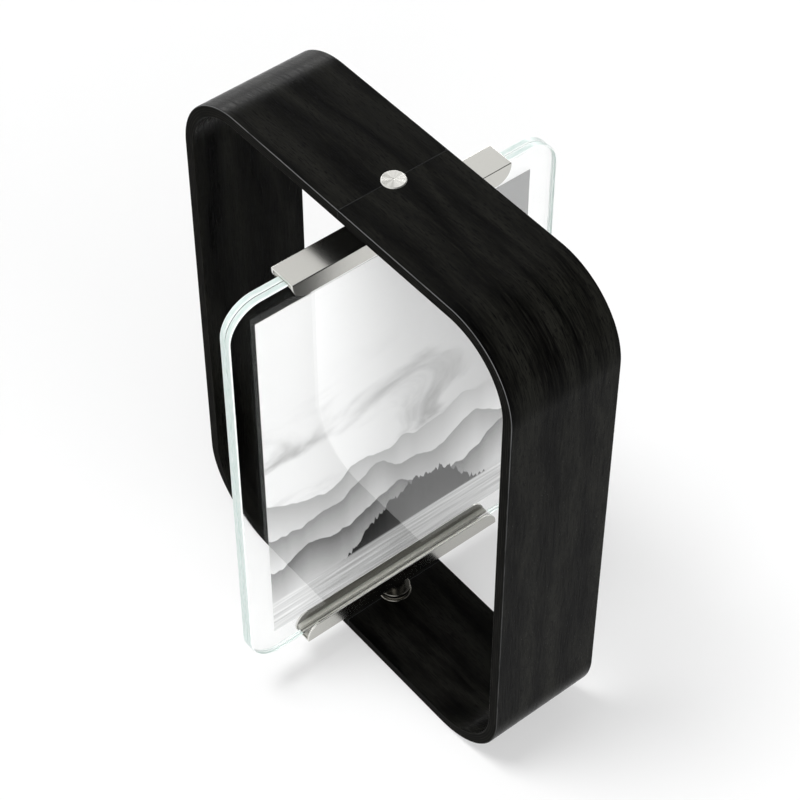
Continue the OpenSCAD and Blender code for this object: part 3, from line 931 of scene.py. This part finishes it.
@dataclass
class Stand:
    """The bent wood stand: two halves joined by splines, on four felt pads."""

    width: float = 188 * MM
    depth: float = 50 * MM
    wall: float = 5 * MM
    bend: float = 33.5 * MM
    bend_steps: int = 36
    arris: float = 0.5 * MM
    arris_steps: int = 4
    # A short run next to each bend keeps the long flats from shading round
    lead: float = 1.5 * MM
    seam: float = 0.1 * MM
    seam_ease: float = 0.12 * MM
    hole: float = 9.8 * MM
    hole_steps: int = 96
    spline: Triple = (10.1 * MM, 14.2 * MM, 1.7 * MM)
    spline_start: float = 7.85 * MM
    pad: float = 10 * MM
    pad_inset: float = 8 * MM
    pad_ease: float = 0.2 * MM
    pad_steps: int = 64
    # Where the middles of the two blanks lie along the veneer, so that each half has its own run of grain
    left_blank: float = 0.9
    right_blank: float = 2.3
    base: float = field(init=False)
    top: float = field(init=False)

    def __post_init__(self) -> None:
        """Take the heights of the base and the top from the CAD."""
        low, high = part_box("right_bent_half")
        self.base = low[2]
        self.top = high[2]

    @property
    def flat(self) -> float:
        """Half the width of the flat base and top."""
        return self.width / 2 - self.bend

    def sweep(self) -> BMesh:
        """Sweep the band's section round the right half, from the base's seam to the top's seam.

        Returns:
            The mesh of the half.
        """
        mesh = bmesh.new()
        start = Matrix.Translation((self.seam / 2, 0, self.base + self.wall / 2))
        turn = Matrix.Rotation(math.pi / 2, 4, "Y")
        size = Matrix.Diagonal((self.wall, self.depth, 1, 1))
        bmesh.ops.create_grid(mesh, x_segments=1, y_segments=1, size=0.5, matrix=start @ turn @ size)
        round_off(mesh, mesh.verts[:], self.arris, self.arris_steps, "VERTICES")
        run = self.flat - self.seam / 2
        side = self.top - self.base - 2 * self.bend
        face = draw_on(mesh, mesh.faces[:], (run - self.lead, 0, 0))
        face = draw_on(mesh, face, (self.lead, 0, 0))
        face = self.bend_up(mesh, face, self.base + self.bend)
        for length in (self.lead, side - 2 * self.lead, self.lead):
            face = draw_on(mesh, face, (0, 0, length))
        face = self.bend_up(mesh, face, self.top - self.bend)
        face = draw_on(mesh, face, (-self.lead, 0, 0))
        draw_on(mesh, face, (self.lead - run, 0, 0))
        bmesh.ops.recalc_face_normals(mesh, faces=mesh.faces)
        ends = {e for f in mesh.faces if len(f.verts) > 4 for e in f.edges}
        round_off(mesh, list(ends), self.seam_ease, 1)
        return mesh

    def bend_up(self, mesh: BMesh, face: list, centre: float) -> list:
        """Take the section's end a quarter turn round a bend.

        Args:
            mesh: The mesh of the half.
            face: The section's end face.
            centre: Height of the bend's centre.

        Returns:
            The new end face.
        """
        turned = bmesh.ops.spin(
            mesh,
            geom=face,
            cent=(self.flat, 0, centre),
            axis=(0, -1, 0),
            angle=math.pi / 2,
            steps=self.bend_steps,
        )["geom_last"]
        return [f for f in turned if isinstance(f, bmesh.types.BMFace)]

    def cutter(self) -> BMesh:
        """Make the shapes of the pivot holes and the spline slots.

        Returns:
            The closed shapes.
        """
        mesh = bmesh.new()
        across, along, thick = self.spline
        for z in (self.base + self.wall / 2, self.top - self.wall / 2):
            add_disc(mesh, self.hole, 3 * self.wall, (0, 0, z), self.hole_steps)
            for sign in (-1, 1):
                y = sign * (self.spline_start + along / 2)
                slot = Matrix.Translation((0, y, z)) @ Matrix.Diagonal((across, along, thick, 1))
                bmesh.ops.create_cube(mesh, size=1, matrix=slot)
        return mesh

    def unroll(self, point: Vector, side: Side) -> Triple:
        """Find where a point lies on the flat blank that the band was bent from.

        Args:
            point: A point of one half.
            side: The half that it belongs to.

        Returns:
            The way along the band, across it, and in from its outer face.
        """
        x = abs(point.x)
        middle = (self.base + self.top) / 2
        z = abs(point.z - middle)
        straight = self.top - middle - self.bend
        mean = self.bend - self.wall / 2
        if x > self.flat and z > straight:
            along = straight + mean * math.atan2(z - straight, x - self.flat)
            inward = self.bend - math.hypot(x - self.flat, z - straight)
        elif x > self.flat:
            along = z
            inward = self.width / 2 - x
        else:
            along = straight + mean * math.pi / 2 + self.flat - x
            inward = self.top - middle - z
        blank = self.left_blank if side is Side.LEFT else self.right_blank
        return math.copysign(along, point.z - middle) + blank, point.y * side.value, inward

    def half(self, side: Side) -> None:
        """Build one bent half with its grain.

        Args:
            side: Which half.
        """
        mesh = self.sweep()
        if side is Side.LEFT:
            bmesh.ops.scale(mesh, verts=mesh.verts, vec=(-1, 1, 1))
            bmesh.ops.recalc_face_normals(mesh, faces=mesh.faces)
        name = f"{side.name.lower()}_bent_half"
        piece = finish_piece(
            mesh, name, WOOD, "stand", smooth=50, cutter=self.cutter()
        )
        grain = piece.data.attributes.new(GRAIN, "FLOAT_VECTOR", "POINT")
        for vertex in piece.data.vertices:
            grain.data[vertex.index].vector = self.unroll(vertex.co, side)

    def pads(self) -> None:
        """Build the four felt pads under the base, with soft upper and lower edges."""
        mesh = bmesh.new()
        far, deep = self.flat - self.pad_inset, self.depth / 2 - self.pad_inset
        for x in (-far, far):
            for y in (-deep, deep):
                add_disc(mesh, self.pad, self.base, (x, y, self.base / 2), self.pad_steps)
        ease_edges(mesh, self.pad_ease, segments=3)
        finish_piece(mesh, "foot_pads", FELT, "stand")

    def build(self) -> None:
        """Build and dress the whole stand."""
        for side in Side:
            self.half(side)
        self.pads()
        dress_node("seam_splines", BIRCH)


@dataclass
class TurnedPart:
    """A part turned on a lathe, from its profile of radius and height pairs."""

    part: str
    profile: tuple[Pair, ...]
    finish: Finish
    body: str
    slot: str
    ring: bool = True
    ease: float = 0.12 * MM
    steps: int = 96
    # Points nearer than this are one
    merge: float = 0.001 * MM

    def build(self, end: End, origin: float) -> None:
        """Spin the profile about the swivel's axis at one end.

        Args:
            end: The end that the part is at. At the lower one it is turned over.
            origin: Height of the wall's inner face, from which the profile is drawn.
        """
        mesh = bmesh.new()
        points = [mesh.verts.new((radius, 0, height)) for radius, height in self.profile]
        for first, second in zip(points, points[1:]):
            mesh.edges.new((first, second))
        if self.ring:
            mesh.edges.new((points[-1], points[0]))
        bmesh.ops.spin(
            mesh,
            geom=mesh.verts[:] + mesh.edges[:],
            cent=(0, 0, 0),
            axis=(0, 0, 1),
            angle=math.tau,
            steps=self.steps,
            use_merge=True,
        )
        bmesh.ops.remove_doubles(mesh, verts=mesh.verts, dist=self.merge)
        bmesh.ops.scale(mesh, verts=mesh.verts, vec=(1, 1, end.way))
        bmesh.ops.translate(mesh, verts=mesh.verts, vec=(0, 0, origin))
        bmesh.ops.recalc_face_normals(mesh, faces=mesh.faces)
        ease_edges(mesh, self.ease)
        finish_piece(mesh, end.node(self.part), self.finish, self.body, smooth=40)


@dataclass
class Swivel:
    """The two pivots: bush, cap, washer, post and screw at the top and at the bottom."""

    wall: float = 5 * MM
    fit: float = 4.85 * MM
    bore: float = 2.05 * MM
    flange: float = 7 * MM
    flange_thick: float = 1 * MM
    recess: float = 3.8 * MM
    recess_floor: float = 1.7 * MM
    cap_thick: float = 1.7 * MM
    cap_bevel: float = 0.4 * MM
    cap_centre: float = 0.45 * MM
    proud: float = 0.3 * MM
    washer: float = 5.5 * MM
    collar: float = 6.5 * MM
    collar_thick: float = 2 * MM
    stem: float = 4.5 * MM
    post: float = 10.1 * MM
    tapped: float = 1.53 * MM
    tapped_depth: float = 6.5 * MM
    chamfer: float = 0.3 * MM

    def bush(self) -> TurnedPart:
        """Describe the flanged bush, from its bore outwards.

        Returns:
            The part, with the wall's inner face at height 0.
        """
        rim = self.flange
        barrel = self.wall + self.proud - self.cap_thick
        profile = (
            (self.bore, -self.flange_thick),
            (rim - self.chamfer, -self.flange_thick),
            (rim, self.chamfer - self.flange_thick),
            (rim, 0),
            (self.fit, 0),
            (self.fit, barrel),
            (self.recess, barrel),
            (self.recess, self.recess_floor),
            (self.bore, self.recess_floor),
        )
        return TurnedPart(
            "flanged_bush", profile, POLISHED_NICKEL, "stand", "polished_nickel", ease=0.08 * MM
        )

    def cap(self) -> TurnedPart:
        """Describe the cover cap with its bevelled rim and turning centre.

        Returns:
            The part, with the wall's inner face at height 0.
        """
        face = self.wall + self.proud
        profile = (
            (0, face - self.cap_thick),
            (self.fit, face - self.cap_thick),
            (self.fit, face - self.cap_bevel),
            (self.fit - self.cap_bevel, face),
            (self.cap_centre, face),
            (0, face - self.cap_centre),
        )
        return TurnedPart(
            "cover_cap", profile, ALUMINIUM, "stand", "turned_aluminium", ring=False, ease=0.06 * MM
        )

    def thrust_washer(self, low: float, high: float) -> TurnedPart:
        """Describe a thrust washer between two heights below the wall's inner face."""
        profile = ((self.bore, low), (self.washer, low), (self.washer, high), (self.bore, high))
        return TurnedPart("thrust_washer", profile, NYLON, "stand", "white_nylon", ease=0.05 * MM)

    def pivot_post(self, face: float) -> TurnedPart:
        """Describe the post with its collar and its tapped hole.

        Args:
            face: Height of the collar's face, next to the washer.

        Returns:
            The part, with the wall's inner face at height 0.
        """
        rim = self.collar
        under = face - self.collar_thick
        floor = face - self.tapped_depth
        profile = (
            (self.tapped, face),
            (rim - self.chamfer, face),
            (rim, face - self.chamfer),
            (rim, under + self.chamfer),
            (rim - self.chamfer, under),
            (self.stem, under),
            (self.stem, face - self.post),
            (0, face - self.post),
            (0, floor),
            (self.tapped, floor),
        )
        return TurnedPart(
            "pivot_post", profile, POLISHED_NICKEL, "holder", "polished_nickel", ease=0.08 * MM
        )

    def span(self, end: End, part: str, origin: float) -> list[float]:
        """Measure the two heights between which a CAD node lies, outwards from the wall's inner face."""
        return sorted(end.way * (corner[2] - origin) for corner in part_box(end.node(part)))

    def build(self) -> None:
        """Build and dress both pivots."""
        for end in End:
            low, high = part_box(end.node("flanged_bush"))
            origin = low[2] + self.flange_thick if end is End.TOP else high[2] - self.flange_thick
            self.bush().build(end, origin)
            self.cap().build(end, origin)
            self.thrust_washer(*self.span(end, "thrust_washer", origin)).build(end, origin)
            self.pivot_post(self.span(end, "pivot_post", origin)[1]).build(end, origin)
            dress_node(end.node("pivot_screw"), ZINC)


@dataclass
class Holder:
    """The turning holder: two channels with their liners, two panes and the print."""

    channel: Triple = (12.4 * MM, 100 * MM, 7.9 * MM)
    sheet: float = 1 * MM
    bend: float = 0.4 * MM
    bend_steps: int = 6
    flange_end: float = 6.8 * MM
    flange_steps: int = 16
    cut_ease: float = 0.15 * MM
    corner: float = 14.5 * MM
    corner_steps: int = 24
    pane_ease: float = 0.45 * MM
    # The web lies below this many thicknesses of the sheet
    web_reach: float = 1.1
    # Parts of a face's direction that tell the sides, the web and the inside of a channel from its cut edges
    side_face: float = 0.6
    web_face: float = 0.7
    inner_face: float = 0.5
    # The same for a pane's flat faces, wetted rim, outward arrises and upper inner arrises; these arrises get
    # the painted highlight
    flat_face: float = 0.99
    wet_face: float = -0.1
    outer_arris: float = 0.2
    upper_arris: float = 0.3

    def channel_mesh(self) -> BMesh:
        """Fold a channel from one sheet, with its web on Z = 0 and its flanges up.

        Returns:
            The channel's mesh.
        """
        width, length, height = self.channel
        mesh = bmesh.new()
        place = Matrix.Translation((0, 0, height / 2)) @ Matrix.Diagonal((width, length, height, 1))
        bmesh.ops.create_cube(mesh, size=1, matrix=place)
        open_faces = [f for f in mesh.faces if f.normal.z > 0.5 or abs(f.normal.y) > 0.5]
        bmesh.ops.delete(mesh, geom=open_faces, context="FACES")
        ends = [v for v in mesh.verts if v.co.z > height / 2]
        round_off(mesh, ends, self.flange_end, self.flange_steps, "VERTICES")
        bmesh.ops.solidify(mesh, geom=mesh.faces[:], thickness=self.sheet)
        bmesh.ops.recalc_face_normals(mesh, faces=mesh.faces)
        low_edges = [e for e in mesh.edges if all(v.co.z < 0.01 * MM for v in e.verts)]
        folds = [e for e in low_edges if abs((e.verts[0].co - e.verts[1].co).y) > length / 2]
        round_off(mesh, folds, self.bend, self.bend_steps)
        ease_edges(mesh, self.cut_ease)
        # The cut edges face along the sheet: all but the flanges' sides and the web's two faces. They take
        # the nickel with painted highlight.
        for face in mesh.faces:
            centre = face.calc_center_median()
            across, up = face.normal.x, face.normal.z
            web = centre.z < self.web_reach * self.sheet and abs(up) > self.web_face
            if abs(across) < self.side_face and not web:
                face.material_index = EDGE_FACE
            # The inner faces take the dull nickel with painted shade
            elif across * centre.x < -self.inner_face * abs(centre.x) or (web and up > 0):
                face.material_index = OTHER_FACE
        return mesh

    def channel_piece(self, end: End) -> None:
        """Build the channel at one end of the holder.

        Args:
            end: Which end.
        """
        mesh = self.channel_mesh()
        low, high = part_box(end.node("channel"))
        if end is End.TOP:
            bmesh.ops.scale(mesh, verts=mesh.verts, vec=(1, 1, -1))
            bmesh.ops.recalc_face_normals(mesh, faces=mesh.faces)
        rise = high[2] if end is End.TOP else low[2]
        bmesh.ops.translate(mesh, verts=mesh.verts, vec=(0, 0, rise))
        finish_piece(
            mesh, end.node("channel"), SATIN_NICKEL, "holder", more=(CUT_NICKEL_PAINTED_HIGHLIGHT, DULL_NICKEL_PAINTED_SHADE)
        )

    def pane(self, name: str) -> None:
        """Build a pane with rounded corners and a rounded, seamed edge.

        Args:
            name: The pane's CAD node, which also gives its place and size.
        """
        low, high = (Vector(corner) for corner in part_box(name))
        size = high - low
        mesh = bmesh.new()
        place = Matrix.Translation((low.x, (low.y + high.y) / 2, (low.z + high.z) / 2))
        turn = Matrix.Rotation(math.pi / 2, 4, "Y")
        scale = Matrix.Diagonal((size.z, size.y, 1, 1))
        bmesh.ops.create_grid(mesh, x_segments=1, y_segments=1, size=0.5, matrix=place @ turn @ scale)
        round_off(mesh, mesh.verts[:], self.corner, self.corner_steps, "VERTICES")
        draw_on(mesh, mesh.faces[:], (size.x, 0, 0))
        bmesh.ops.recalc_face_normals(mesh, faces=mesh.faces)
        ease_edges(mesh, self.pane_ease, segments=3, over=60)
        # The silicone wets the lower rim inside the channel, so that it shows as clear as the faces
        reach = self.channel[1] / 2
        for side in (-reach, reach):
            geometry = mesh.verts[:] + mesh.edges[:] + mesh.faces[:]
            bmesh.ops.bisect_plane(mesh, geom=geometry, plane_co=(0, side, 0), plane_no=(0, 1, 0))
        out = math.copysign(1, low.x + high.x)
        for face in mesh.faces:
            slope, up = face.normal.x * out, face.normal.z
            wet = up < self.wet_face and abs(face.calc_center_median().y) < reach
            if abs(slope) < self.flat_face and not wet:
                # Outward and upper inner arrises take the glass with painted highlight
                upper = slope < -self.outer_arris and up > self.upper_arris
                face.material_index = OTHER_FACE if upper or slope > self.outer_arris else EDGE_FACE
        finish_piece(mesh, name, GLASS, "holder", more=(GLASS_EDGE, GLASS_ARRIS_PAINTED_HIGHLIGHT))

    def build(self) -> None:
        """Build and dress the holder."""
        for end in End:
            self.channel_piece(end)
            dress_node(end.node("glazing_liner"), SILICONE)
        self.pane("front_glass_pane")
        self.pane("rear_glass_pane")
        dress_node("photo_print", PRINT)


@dataclass
class Studio:
    """Camera, soft lights, white surroundings and the pale floor."""

    camera_at: Triple = (0.494835, -0.398066, 0.831412)
    camera_turn: Triple = (41.964, 0.0, 50.987)
    lens: float = 110.882
    # Level of the diffuse light from all round
    around: float = 0.35
    # High key light from the left, and low fill light from the right. Each has the level that it gives a
    # face turned straight towards it, its direction from the X axis, its height and its width in degrees.
    key: tuple[float, ...] = (0.70, -120.0, 71.0, 22.0)
    fill: tuple[float, ...] = (0.9, -20.0, 15.0, 70.0)
    # Tall light behind on the left, which only shows as a reflection in the gloss of the bend. Each of
    # its strips has a level, a lower and an upper rim.
    strips: tuple[Triple, ...] = ((7.5, 0.48, 0.78), (1.4, 0.02, 0.48))
    strip_width: float = 1.4
    strip_turn: float = 150.0
    strip_far: float = 1.2
    # Unlit side of the room, on the right behind the frame, which only gloss and metal mirror
    dim: float = 0.15
    dim_turn: float = 29.0
    dim_height: float = 26.0
    dim_inner: float = 45.0
    dim_outer: float = 65.0
    floor_tone: float = 0.48
    floor_lift: float = 0.412
    floor_size: float = 12.0

    def camera(self) -> None:
        """Set the camera where the photo was taken from."""
        data = bpy.data.cameras.new("camera")
        data.lens = self.lens
        data.sensor_width = 36.0
        camera = add_object("camera", data)
        camera.location = self.camera_at
        camera.rotation_euler = tuple(math.radians(angle) for angle in self.camera_turn)
        bpy.context.scene.camera = camera

    def seen_ray(self, tree: Tree) -> Socket:
        """Add a mask of the rays that see the background: straight, mirrored or through glass.

        Args:
            tree: The world's node tree.

        Returns:
            The mask.
        """
        straight = add_node(tree, "LightPath", out="Is Camera Ray")
        mirrored = add_node(tree, "LightPath", out="Is Glossy Ray")
        through = add_node(tree, "LightPath", out="Is Transmission Ray")
        seen = add_node(tree, "Math", straight, mirrored, operation="MAXIMUM")
        return add_node(tree, "Math", seen, through, operation="MAXIMUM")

    def unlit_side(self, tree: Tree) -> Socket:
        """Add the share of light that mirrored rays find in each direction of the room.

        Args:
            tree: The world's node tree.

        Returns:
            The share.
        """
        turn, height = math.radians(self.dim_turn), math.radians(self.dim_height)
        centre = (math.cos(turn) * math.cos(height), math.sin(turn) * math.cos(height), math.sin(height))
        way = add_node(tree, "TexCoord", out="Generated")
        near = add_node(tree, "VectorMath", way, centre, operation="DOT_PRODUCT", out="Value")
        inner, outer = (math.cos(math.radians(angle)) for angle in (self.dim_inner, self.dim_outer))
        inside = add_node(tree, "MapRange", near, outer, inner, **SOFT)
        mirrored = add_node(tree, "LightPath", out="Is Glossy Ray")
        hidden = add_node(tree, "Math", inside, mirrored, operation="MULTIPLY")
        loss = add_node(tree, "Math", hidden, 1 - self.dim, operation="MULTIPLY")
        return add_node(tree, "Math", 1.0, loss, operation="SUBTRACT")

    def surroundings(self) -> None:
        """Light the scene from all round, and show white where a ray sees the background."""
        world = bpy.data.worlds.new("surroundings")
        tree = bare_tree(world)
        level = add_node(tree, "MapRange", self.seen_ray(tree), 0.0, 1.0, self.around, 1.0)
        strength = add_node(tree, "Math", level, self.unlit_side(tree), operation="MULTIPLY")
        white = add_node(tree, "Background", "#ffffff", strength)
        add_node(tree, "OutputWorld", white)
        bpy.context.scene.world = world

    def soft_sun(self, name: str, level: float, turn: float, height: float, spread: float) -> None:
        """Add a soft light from far away, which metal and glass don't mirror.

        Args:
            name: The lamp's name.
            level: How bright it makes a white face turned straight towards it.
            turn: Direction that it comes from, in degrees from the X axis.
            height: Its height above the table, in degrees.
            spread: Its width as seen from the frame, in degrees.
        """
        data = bpy.data.lights.new(name, "SUN")
        data.angle = math.radians(spread)
        data.energy = math.pi * level
        lamp = add_object(name, data)
        lamp.visible_glossy = False
        way = Matrix.Rotation(math.radians(turn), 3, "Z") @ Matrix.Rotation(math.radians(-height), 3, "Y")
        lamp.rotation_euler = (way @ Vector((1, 0, 0))).to_track_quat("Z", "Y").to_euler()

    def strip_light(self, level: float, bottom: float, top: float) -> None:
        """Add one strip of the tall light whose reflection shows on the bend.

        Args:
            level: How bright the strip is.
            bottom: Height of its lower rim.
            top: Height of its upper rim.
        """
        data = bpy.data.lights.new("strip_light", "AREA")
        data.shape = "RECTANGLE"
        data.size, data.size_y = self.strip_width, top - bottom
        data.energy = math.pi * level * data.size * data.size_y
        lamp = add_object("strip_light", data)
        lamp.visible_camera = False
        lamp.visible_diffuse = False
        lamp.visible_transmission = False
        turn = math.radians(self.strip_turn)
        away = Vector((math.cos(turn), math.sin(turn), 0)) * self.strip_far
        lamp.location = away + Vector((0, 0, (bottom + top) / 2))
        lamp.rotation_euler = away.to_track_quat("Z", "Y").to_euler()

    def floor(self) -> None:
        """Lay the pale floor, which is lifted to white where nothing shades it."""
        material = bpy.data.materials.new("matt_white_floor")
        tree = bare_tree(material)
        tone = self.floor_tone
        matt = add_node(tree, "BsdfDiffuse", (tone, tone, tone, 1.0))
        glow = add_node(tree, "Emission", named={"Strength": self.floor_lift})
        add_node(tree, "OutputMaterial", add_node(tree, "AddShader", matt, glow))
        mesh = bmesh.new()
        bmesh.ops.create_grid(mesh, x_segments=4, y_segments=4, size=self.floor_size / 2)
        data = to_data(mesh, "floor")
        data.materials.append(material)
        add_object("floor", data)

    def build(self) -> None:
        """Set up the view, the light and the floor."""
        bpy.context.scene.view_settings.view_transform = "Standard"
        self.camera()
        self.surroundings()
        self.soft_sun("key_light", *self.key)
        self.soft_sun("fill_light", *self.fill)
        for strip in self.strips:
            self.strip_light(*strip)
        self.floor()


def main() -> None:
    """Build the studio and each part of the frame."""
    logging.basicConfig(level=logging.INFO, format="%(name)s: %(message)s")
    Studio().build()
    Stand().build()
    Swivel().build()
    Holder().build()


if __name__ == "__main__":
    main()
